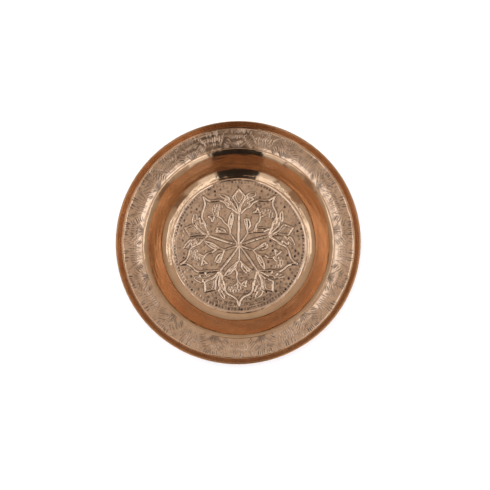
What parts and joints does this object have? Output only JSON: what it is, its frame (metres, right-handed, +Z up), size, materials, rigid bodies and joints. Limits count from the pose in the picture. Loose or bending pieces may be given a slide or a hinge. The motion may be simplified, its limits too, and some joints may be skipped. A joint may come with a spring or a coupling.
{
  "type": "tray",
  "caption": "Round hand-raised copper tray with a deep well, flared rim, upturned rolled lip and a flower in raised relief on its floor.",
  "frame": {"origin": "centre of the underside, on the surface that the tray stands on", "axes": "+Z up along the tray's axis, out of its open side; +Y towards the stem of the flower that starts the pattern"},
  "size_m": [0.28, 0.28, 0.0394],
  "materials": {
    "copper": "hand-polished sheet copper with darker colour in the tooling",
    "copper_wire": "drawn copper wire, dull inside the rolled edge"
  },
  "bodies": {
    "root": {"tray_body": "copper", "edge_wire": "copper_wire"}
  },
  "joints": []
}
